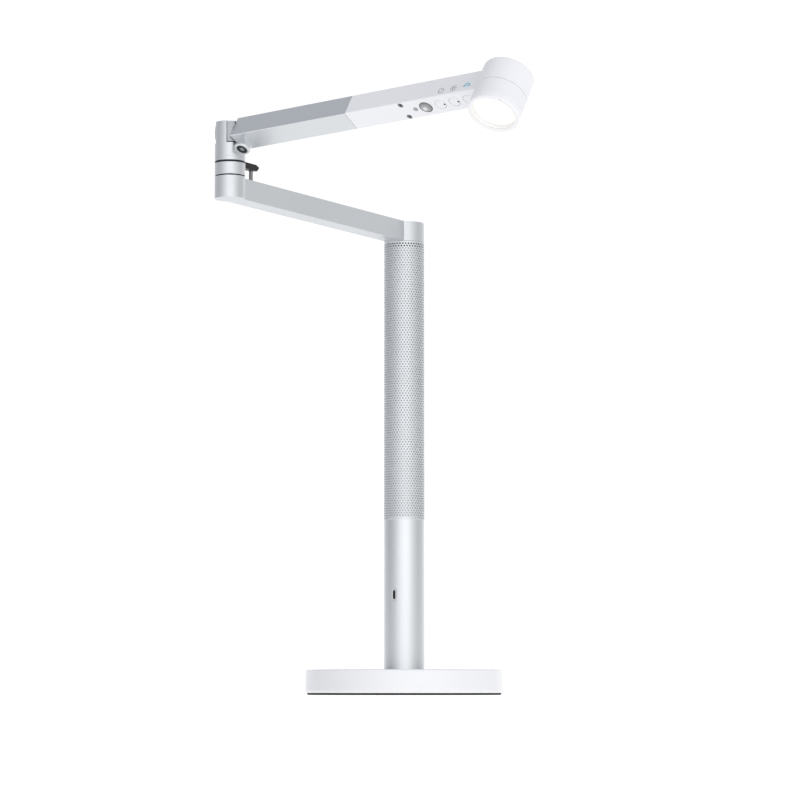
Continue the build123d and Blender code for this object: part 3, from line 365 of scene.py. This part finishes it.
def perforated_sleeve():
    """The sleeve's wall as six-sided cells in staggered rows, each with a hole through it."""
    low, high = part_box("perforated_sleeve")
    outer = high.x
    inner = outer - SLEEVE_WALL
    half_step = pi / HOLE_COLUMNS
    # a cell is 4/3 of a row high, so the cells reach 2/3 of a row past the middles of the end rows
    usable = (high.z - low.z) - PLAIN_EDGE_LOW - PLAIN_EDGE_HIGH
    row_height = usable / (HOLE_ROWS + 1 / 3)
    first_row = low.z + PLAIN_EDGE_LOW + row_height * 2 / 3
    vertices, faces = [], []
    lookup = {}

    def point(radius, angle, height):
        vertices.append((radius * cos(angle), radius * sin(angle), height))
        return len(vertices) - 1

    def corner(radius, column, level):
        """A corner shared by up to three cells; column counts half steps round the sleeve."""
        key = (radius, column % (2 * HOLE_COLUMNS), level)
        if key not in lookup:
            row, upper = divmod(level, 2)
            height = first_row + row * row_height + row_height * (-1 if upper else -2) / 3
            lookup[key] = point(radius, column * half_step, height)
        return lookup[key]

    def cell_corners(radius, row, column):
        middle = 2 * column + row % 2
        return [
            corner(radius, middle, 2 * row),
            corner(radius, middle + 1, 2 * row + 1),
            corner(radius, middle + 1, 2 * row + 2),
            corner(radius, middle, 2 * row + 3),
            corner(radius, middle - 1, 2 * row + 2),
            corner(radius, middle - 1, 2 * row + 1),
        ]

    # one cell round each hole: the wall's outer and inner face, and the hole's own sides
    for row in range(HOLE_ROWS):
        for column in range(HOLE_COLUMNS):
            middle = (2 * column + row % 2) * half_step
            height = first_row + row * row_height
            holes = []
            for radius in (outer, inner):
                rim = []
                for side in range(6):
                    turn = radians(-90 + 60 * side)
                    sideways = HOLE_RADIUS * cos(turn) / outer
                    rim.append(point(radius, middle + sideways, height + HOLE_RADIUS * sin(turn)))
                holes.append(rim)
            for radius, rim, outwards in ((outer, holes[0], True), (inner, holes[1], False)):
                edge = cell_corners(radius, row, column)
                for side in range(6):
                    after = (side + 1) % 6
                    quad = (edge[side], edge[after], rim[after], rim[side])
                    faces.append(quad if outwards else tuple(reversed(quad)))
            for side in range(6):
                after = (side + 1) % 6
                faces.append((holes[0][side], holes[0][after], holes[1][after], holes[1][side]))

    # the plain bands at the sleeve's two ends, which follow the outline of the end rows' cells
    for edge_height, tip_level, side_level, row in (
        (low.z, 0, 1, 0),
        (high.z, 2 * HOLE_ROWS + 1, 2 * HOLE_ROWS, HOLE_ROWS - 1),
    ):
        ends = {}
        for radius in (outer, inner):
            ends[radius] = [
                point(radius, half * half_step, edge_height) for half in range(2 * HOLE_COLUMNS)
            ]
        for half in range(2 * HOLE_COLUMNS):
            after = (half + 1) % (2 * HOLE_COLUMNS)
            levels = [tip_level if spot % 2 == row % 2 else side_level for spot in (half, after)]
            for radius in (outer, inner):
                quad = [
                    ends[radius][half],
                    ends[radius][after],
                    corner(radius, after, levels[1]),
                    corner(radius, half, levels[0]),
                ]
                faces.append(quad if (radius == outer) == (row == 0) else quad[::-1])
            rim = [ends[outer][half], ends[inner][half], ends[inner][after], ends[outer][after]]
            faces.append(rim if row == 0 else rim[::-1])

    metal = surface("sleeve_metal", SLEEVE_SILVER, 0.46, 1.0, grain=3200, relief=0.00001, variation=0.02)
    sleeve = add_piece("perforated_sleeve_holes", vertices, faces, "stand", "silver_metal", metal)
    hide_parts("perforated_sleeve")


perforated_sleeve()

# ---------------------------------------------------------------- head lens
head_reach = sum(span("head_lens", arm_root, arm_dir)) / 2
lens_back, lens_front = span("head_lens", arm_root, beam_dir)
head_front = span("head_ring", arm_root, beam_dir)[1]
LENS_RADIUS = 15.2 * MM
GLOW_EVEN_RADIUS = 12 * MM      # inside it the lens is evenly bright
GLOW_MIDDLE = (1.0, 0.985, 0.93)
GLOW_RIM = (1.0, 0.965, 0.86)
GLOW_MIDDLE_STRENGTH = 0.95
GLOW_RIM_STRENGTH = 0.74
FROST_GRAIN = 1800
FROST_RELIEF = 0.00003
LENS_DOME = 1.0 * MM            # how far the lens's middle stands in front of its rim
LENS_EDGE = 0.5 * MM
LIT_COLOR = (1.0, 0.955, 0.82, 1)
MOULDING_GRAIN = 2400.0
MOULDING_RELIEF = 0.000015
lens_place = beam_matrix(head_reach)


def glow_material():
    """Lit frosted lens: brightest in the middle, with a warmer, slightly dimmer rim."""
    material, tree, shader = make_material("lens_glow")
    where = tree.nodes.new("ShaderNodeVectorMath")
    where.operation = "DISTANCE"
    where.inputs[1].default_value = arm_root + arm_dir * head_reach + beam_dir * lens_front
    tree.links.new(object_coordinates(tree), where.inputs[0])
    rim = spread(tree, where.outputs["Value"], 0.0, 1.0, GLOW_EVEN_RADIUS, LENS_RADIUS)
    tree.links.new(tint(tree, rim, GLOW_MIDDLE, GLOW_RIM), shader.inputs["Emission Color"])
    strength = spread(tree, rim, GLOW_MIDDLE_STRENGTH, GLOW_RIM_STRENGTH, 0.0, 1.0)
    tree.links.new(strength, shader.inputs["Emission Strength"])
    grain = noise(tree, object_coordinates(tree), FROST_GRAIN)
    tree.links.new(tint(tree, grain, (0.22, 0.215, 0.20), (0.28, 0.275, 0.26)), shader.inputs["Base Color"])
    bump(tree, shader, grain, FROST_RELIEF)
    shader.inputs["Roughness"].default_value = 0.35
    return material


def painted_glow_shell_material(name, color, strength, depth):
    """Pale moulding with a painted glow, strongest at the head's mouth: warm emission that stands in for the
    lamp's light falling on it.

    The glow fades out over depth, measured back from the mouth.
    """
    material, tree, shader = make_material(name)
    along = tree.nodes.new("ShaderNodeVectorMath")
    along.operation = "DOT_PRODUCT"
    along.inputs[1].default_value = beam_dir
    where = object_coordinates(tree)
    tree.links.new(where, along.inputs[0])
    mouth = (arm_root + arm_dir * head_reach).dot(beam_dir) + head_front
    glow = spread(tree, along.outputs["Value"], 0.0, strength, mouth - depth, mouth)
    tree.links.new(glow, shader.inputs["Emission Strength"])
    shader.inputs["Emission Color"].default_value = LIT_COLOR
    slow = spread(tree, noise(tree, where, SLOW_SCALE), 0.0, 1.0)
    tree.links.new(tint(tree, slow, scaled(color, 0.985), color), shader.inputs["Base Color"])
    fine = noise(tree, where, MOULDING_GRAIN, FINE_DETAIL)
    tree.links.new(spread(tree, fine, 0.36, 0.48), shader.inputs["Roughness"])
    bump(tree, shader, fine, MOULDING_RELIEF)
    return material


# painted glow: faint warm emission on the head ring's mouth, for the lamp's light falling on it
frame["nodes"]["head_ring"].data.materials[0] = painted_glow_shell_material(
    "lit_head_ring", WHITE, strength=0.06, depth=7 * MM
)

lens_vertices, lens_faces = capped(
    [
        (LENS_RADIUS, lens_back + 0.3 * MM),
        (LENS_RADIUS, lens_front - LENS_EDGE),
        (LENS_RADIUS - LENS_EDGE, lens_front),
        (LENS_RADIUS * 0.8, lens_front + LENS_DOME * 0.45),
        (LENS_RADIUS * 0.5, lens_front + LENS_DOME * 0.85),
        (LENS_RADIUS * 0.2, lens_front + LENS_DOME),
        (0.5 * MM, lens_front + LENS_DOME),
    ],
    lens_place,
)
lens_disc = add_piece("lens_disc", lens_vertices, lens_faces, "upper_arm", "head_lens", glow_material())
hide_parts("head_lens")

# ring that holds the lens in the head's mouth
RING_RADIUS = 18.05 * MM
RING_GAP = 0.12 * MM            # between it and the lens
RING_BACK = lens_back + 0.2 * MM
RING_CREST = lens_front + 0.9 * MM
arm_ring(
    "lens_retaining_ring",
    [
        (RING_RADIUS, RING_BACK),
        (RING_RADIUS, lens_front + 0.2 * MM),
        (RING_RADIUS - 0.7 * MM, RING_CREST),
        (RING_RADIUS - 1.6 * MM, RING_CREST),
        (LENS_RADIUS + RING_GAP, lens_front - 0.1 * MM),
        (LENS_RADIUS + RING_GAP, RING_BACK),
    ],
    lens_place,
    "white_shell",
    # painted glow: warm emission on the retaining ring, for the lamp's light falling on it
    painted_glow_shell_material("lit_retaining_ring", (0.66, 0.655, 0.63), strength=0.60, depth=20 * MM),
)

# thin grey lip that lines the rounded edge of the head's mouth; its grey is painted shade, the dark line where the
# mouth's edge turns into the recess
MOUTH_RADIUS = 18.1 * MM
LIP_DEPTH = 1.0 * MM
LIP_PROUD = 0.03 * MM
arm_ring(
    "head_mouth_shade_lip",
    [
        (MOUTH_RADIUS - LIP_PROUD, head_front - LIP_DEPTH),
        (MOUTH_RADIUS - LIP_PROUD, head_front - 0.6 * MM),
        (MOUTH_RADIUS + 0.12 * MM, head_front - 0.3 * MM),
        (MOUTH_RADIUS + 0.38 * MM, head_front - 0.12 * MM),
        (MOUTH_RADIUS + 0.5 * MM, head_front - 0.3 * MM),
        (MOUTH_RADIUS + 0.3 * MM, head_front - LIP_DEPTH),
    ],
    lens_place,
    "white_shell",
    surface("mouth_shade_lip", (0.62, 0.61, 0.57), 0.5, grain=2400, relief=0.00001),
)

# thin dark ring where the front rim starts to round over: a painted shadow line, the shade of a seam painted as a
# dark ring
SHADE_RING_RADIUS = 20.35 * MM
SHADE_RING_WIDTH = 0.34 * MM
SHADE_RING_DEPTH = 0.5 * MM
shade_ring_inner = SHADE_RING_RADIUS - SHADE_RING_WIDTH / 2
shade_ring_outer = SHADE_RING_RADIUS + SHADE_RING_WIDTH / 2
arm_ring(
    "head_front_shade_ring",
    [
        (shade_ring_inner, head_front - SHADE_RING_DEPTH),
        (shade_ring_inner, head_front + 0.02 * MM),
        (shade_ring_outer, head_front - 0.12 * MM),
        (shade_ring_outer, head_front - SHADE_RING_DEPTH),
    ],
    lens_place,
    "white_shell",
    surface("front_shade_ring", (0.36, 0.355, 0.32), 0.5, grain=2400, relief=0.00001),
)

# ---------------------------------------------------------------- motion sensor
sensor_reach = sum(span("motion_sensor_lens", arm_root, arm_dir)) / 2
dome_crest = span("motion_sensor_lens", arm_root, beam_dir)[1]
DOME_RADIUS = 6 * MM            # where the tones end
DOME_TONES = (                  # painted highlight in the middle, darker towards the edge; from the dome's middle to its edge
    (0.0, (0.92, 0.92, 0.92)),
    (0.24, (0.85, 0.85, 0.85)),
    (0.42, (0.42, 0.42, 0.43)),
    (1.0, (0.20, 0.20, 0.21)),
)
CELL_SCALE = 800.0
CELL_RELIEF = 0.00012


def dome_material():
    """Smoked dome moulded with small lens cells: a painted highlight in its middle, darker towards its edge, and
    each cell painted darker towards its rim as shade.
    """
    material, tree, shader = make_material("sensor_dome")
    where = object_coordinates(tree)
    radius = tree.nodes.new("ShaderNodeVectorMath")
    radius.operation = "DISTANCE"
    radius.inputs[1].default_value = arm_root + arm_dir * sensor_reach + beam_dir * dome_crest
    tree.links.new(where, radius.inputs[0])
    tones = tree.nodes.new("ShaderNodeValToRGB")
    fill_ramp(tones.color_ramp, DOME_TONES)
    outwards = spread(tree, radius.outputs["Value"], 0.0, 1.0, 0.0, DOME_RADIUS)
    tree.links.new(outwards, tones.inputs["Fac"])
    cells = tree.nodes.new("ShaderNodeTexVoronoi")
    cells.inputs["Scale"].default_value = CELL_SCALE
    tree.links.new(where, cells.inputs["Vector"])
    # painted shade: each lens cell is darker towards its rim, in the creases between cells
    edges = spread(tree, cells.outputs["Distance"], 1.0, 0.72, 0.2, 0.7)
    shaded = tree.nodes.new("ShaderNodeVectorMath")
    shaded.operation = "SCALE"
    tree.links.new(tones.outputs["Color"], shaded.inputs[0])
    tree.links.new(edges, shaded.inputs["Scale"])
    tree.links.new(shaded.outputs["Vector"], shader.inputs["Base Color"])
    bump(tree, shader, cells.outputs["Distance"], CELL_RELIEF)
    shader.inputs["Roughness"].default_value = 0.12
    shader.inputs["Coat Weight"].default_value = 0.8
    return material


frame["nodes"]["motion_sensor_lens"].data.materials[0] = dome_material()

LIGHT_LENS_PROUD = 0.1 * MM     # how far the light sensor's lens stands out of the arm's face
arm_face = span("light_sensor_lens", arm_root, beam_dir)[1] - LIGHT_LENS_PROUD
SENSOR_BORE = 5.75 * MM
RIM_WALL = 0.7 * MM
RIM_DEPTH = 0.6 * MM
arm_ring(
    "motion_sensor_rim",
    [
        (SENSOR_BORE, arm_face - RIM_DEPTH),
        (SENSOR_BORE, arm_face + 0.12 * MM),
        (SENSOR_BORE - 0.25 * MM, arm_face + 0.2 * MM),
        (SENSOR_BORE - RIM_WALL, arm_face + 0.1 * MM),
        (SENSOR_BORE - RIM_WALL, arm_face - RIM_DEPTH),
    ],
    beam_matrix(sensor_reach),
    "black_plastic",
)

# ---------------------------------------------------------------- pictograms
ICON_LIFT = 0.05 * MM           # the marks stand this far out of the face and go as deep into it
ICON_LINE = 0.6 * MM
ARC_STEPS = 20
ICON_INSET = 5.2 * MM           # from the face's beam-side edge
icon_material = surface("icon_ink", (0.27, 0.28, 0.30), 0.5, grain=2600)
teal_material = surface("icon_teal", (0.10, 0.30, 0.37), 0.5, grain=2600)


def icon_place(reach):
    """Placement on the arm's side face: x along the arm, y towards its far edge, z out.

    The arm is square, so its side face stands as far from its axis as the beam side does.
    """
    origin = arm_root + arm_dir * reach + beam_dir * (arm_face - ICON_INSET) + side_dir * arm_face
    return axes_matrix(origin, arm_dir, -beam_dir, side_dir)


def stroke(points):
    """Outline of a flat line of even width through points, as quads on local z = 0."""
    left, right = [], []
    for index, (x, y) in enumerate(points):
        before = points[max(index - 1, 0)]
        after = points[min(index + 1, len(points) - 1)]
        along_x, along_y = after[0] - before[0], after[1] - before[1]
        length = hypot(along_x, along_y)
        offset_x, offset_y = -along_y / length * ICON_LINE / 2, along_x / length * ICON_LINE / 2
        left.append((x + offset_x, y + offset_y))
        right.append((x - offset_x, y - offset_y))
    return [
        (left[index], right[index], right[index + 1], left[index + 1]) for index in range(len(points) - 1)
    ]


def arc(radius, start, end):
    """Points of an arc about the origin, its ends in degrees."""
    angles = [radians(start + (end - start) * step / ARC_STEPS) for step in range(ARC_STEPS + 1)]
    return [(radius * cos(angle), radius * sin(angle)) for angle in angles]


def icon(name, reach, strokes, material):
    """A printed mark: thin closed plates on the arm's side face."""
    place = icon_place(reach)
    vertices, faces = [], []
    for quad in (quad for line in strokes for quad in line):
        base = len(vertices)
        for height in (-ICON_LIFT, ICON_LIFT):
            vertices.extend(place @ Vector((x, y, height)) for x, y in quad)
        faces.append((base, base + 1, base + 2, base + 3))
        faces.append((base + 7, base + 6, base + 5, base + 4))
        for side in range(4):
            after = (side + 1) % 4
            faces.append((base + side, base + 4 + side, base + 4 + after, base + after))
    add_piece(name, vertices, faces, "upper_arm", "indicator", material, smooth_angle=20)


ICON_REACHES = (235.0 * MM, 247.3 * MM, 260.6 * MM)  # along the arm, from the roll joint
icon(
    "icon_power",
    ICON_REACHES[0],
    [stroke(arc(2.5 * MM, 120, 420)), stroke([(0, 0.8 * MM), (0, 3.1 * MM)])],
    icon_material,
)
RAY_ENDS = (2.1 * MM, 3.3 * MM)
sun_rays = [
    stroke([(reach * cos(radians(turn)), reach * sin(radians(turn))) for reach in RAY_ENDS])
    for turn in range(0, 360, 45)
]
icon("icon_brightness", ICON_REACHES[1], [stroke(arc(1.3 * MM, 0, 360)), *sun_rays], icon_material)
icon(
    "icon_warmth",
    ICON_REACHES[2],
    [
        stroke(arc(2.7 * MM, 0, 180)),
        stroke([(-3.8 * MM, 0), (3.8 * MM, 0)]),
        stroke([(0, 0.8 * MM), (0, 1.8 * MM)]),
    ],
    teal_material,
)

# the third mark is backlit, so a pale patch of light shows round it
PATCH_RADIUS = 3.6 * MM
patch_place = icon_place(ICON_REACHES[2]) @ Matrix.Translation((0, 1.0 * MM, 0))
patch_profile = [
    (PATCH_RADIUS, -ICON_LIFT),
    (PATCH_RADIUS, 0.2 * ICON_LIFT),
    (PATCH_RADIUS - 0.4 * MM, 0.4 * ICON_LIFT),
]
patch_vertices, patch_faces = capped(patch_profile, patch_place, segments=48)
add_piece(
    "icon_warmth_glow",
    patch_vertices,
    patch_faces,
    "upper_arm",
    "indicator",
    surface("icon_glow", (0.72, 0.86, 0.91), 0.5, grain=2600),
)

# ---------------------------------------------------------------- floor, light and camera
FLOOR_REACH = 15.0              # from its middle to each edge
floor_mesh = bpy.data.meshes.new("floor")
floor_mesh.from_pydata(
    [(x * FLOOR_REACH, y * FLOOR_REACH, 0) for x, y in ((-1, -1), (1, -1), (1, 1), (-1, 1))],
    [],
    [(0, 1, 2, 3)],
)
floor = bpy.data.objects.new("floor", floor_mesh)
bpy.context.scene.collection.objects.link(floor)
floor_material = surface(
    "floor_paper",
    (0.35, 0.35, 0.35),
    0.9,
    grain=200,
    variation=0.01,
    Emission_Color=(1, 1, 1, 1),
    Emission_Strength=0.80,
)
floor_mesh.materials.append(floor_material)


BACKDROP_STRENGTH = 1.05
ROOM_STRENGTH = 1.4
WALL_TONES = (                  # from straight in front of the lamp to straight behind it
    (0.0, (1.3, 1.3, 1.3)),
    (0.13, (0.82, 0.82, 0.825)),
    (0.26, (0.53, 0.535, 0.54)),
    (0.48, (0.37, 0.375, 0.385)),
    (0.74, (0.53, 0.535, 0.545)),
    (1.0, (0.92, 0.92, 0.92)),
)
LEFT_SHADE = (0.74, 0.755, 0.79)
LEFT_SPAN = (-0.9, 0.5)         # across these sideways parts of a direction the left shade fades out
CEILING_TONE = (0.40, 0.41, 0.44, 1)
CEILING_SPAN = (0.25, 0.75)     # across these upward parts of a direction the walls turn into ceiling


def set_world():
    """White backdrop for the camera; for light, a pale room, brightest in front and behind."""
    world = bpy.data.worlds.new("studio")
    bpy.context.scene.world = world
    world.use_nodes = True
    tree = world.node_tree
    tree.nodes.clear()
    output = tree.nodes.new("ShaderNodeOutputWorld")
    backdrop = tree.nodes.new("ShaderNodeBackground")
    backdrop.inputs["Strength"].default_value = BACKDROP_STRENGTH
    backdrop.inputs["Color"].default_value = (1, 1, 1, 1)
    direction = tree.nodes.new("ShaderNodeSeparateXYZ")
    tree.links.new(tree.nodes.new("ShaderNodeTexCoord").outputs["Generated"], direction.inputs[0])
    room = tree.nodes.new("ShaderNodeBackground")
    room.inputs["Strength"].default_value = ROOM_STRENGTH
    walls = tree.nodes.new("ShaderNodeValToRGB")
    walls.color_ramp.interpolation = "EASE"
    fill_ramp(walls.color_ramp, WALL_TONES)
    tree.links.new(spread(tree, direction.outputs["Y"], 0.0, 1.0, -1.0, 1.0), walls.inputs["Fac"])
    left = tree.nodes.new("ShaderNodeMix")
    left.data_type = "RGBA"
    left.blend_type = "MULTIPLY"
    left.inputs["Factor"].default_value = 1.0
    tree.links.new(walls.outputs["Color"], left.inputs["A"])
    sideways = spread(tree, direction.outputs["X"], 0.0, 1.0, *LEFT_SPAN)
    tree.links.new(tint(tree, sideways, LEFT_SHADE, (1.0, 1.0, 1.0)), left.inputs["B"])
    height = spread(tree, direction.outputs["Z"], 0.0, 1.0, *CEILING_SPAN)
    room_tone = tree.nodes.new("ShaderNodeMix")
    room_tone.data_type = "RGBA"
    tree.links.new(height, room_tone.inputs["Factor"])
    tree.links.new(left.outputs["Result"], room_tone.inputs["A"])
    room_tone.inputs["B"].default_value = CEILING_TONE
    tree.links.new(room_tone.outputs["Result"], room.inputs["Color"])
    mix = tree.nodes.new("ShaderNodeMixShader")
    tree.links.new(tree.nodes.new("ShaderNodeLightPath").outputs["Is Camera Ray"], mix.inputs["Fac"])
    tree.links.new(room.outputs[0], mix.inputs[1])
    tree.links.new(backdrop.outputs[0], mix.inputs[2])
    tree.links.new(mix.outputs[0], output.inputs["Surface"])


set_world()
middle = (cad_low + cad_high) / 2


def softbox(name, location, width, height, power):
    """A soft rectangular area light aimed at the middle of the lamp."""
    data = bpy.data.lights.new(name, "AREA")
    data.shape = "RECTANGLE"
    data.size = width
    data.size_y = height
    data.energy = power
    light = bpy.data.objects.new(name, data)
    bpy.context.scene.collection.objects.link(light)
    light.location = location
    light.rotation_mode = "QUATERNION"
    light.rotation_quaternion = (middle - Vector(location)).to_track_quat("-Z", "Y")
    return light


side_light = softbox("front_right", location=(2.1, -3.0, 0.9), width=1.2, height=1.6, power=18)
side_light.visible_glossy = False  # it shapes the paint without a streak on the metal
softbox("overhead", location=(0.1, 0.1, 2.4), width=2.4, height=2.4, power=2)

# the camera, solved together with the lamp's pose
CAMERA_PLACE = (-0.00391, -2.73105, 0.00477)
CAMERA_RISE = 5.597             # degrees above level
CAMERA_LENS = 133.03            # on a 36 mm sensor
camera_data = bpy.data.cameras.new("camera")
camera_data.sensor_width = 36
camera_data.lens = CAMERA_LENS
camera_data.clip_start = 0.05
camera_data.clip_end = 50
camera = bpy.data.objects.new("camera", camera_data)
camera.location = CAMERA_PLACE
camera.rotation_euler = (radians(90 + CAMERA_RISE), 0, 0)
bpy.context.scene.collection.objects.link(camera)
bpy.context.scene.camera = camera
bpy.context.scene.view_settings.view_transform = "Standard"
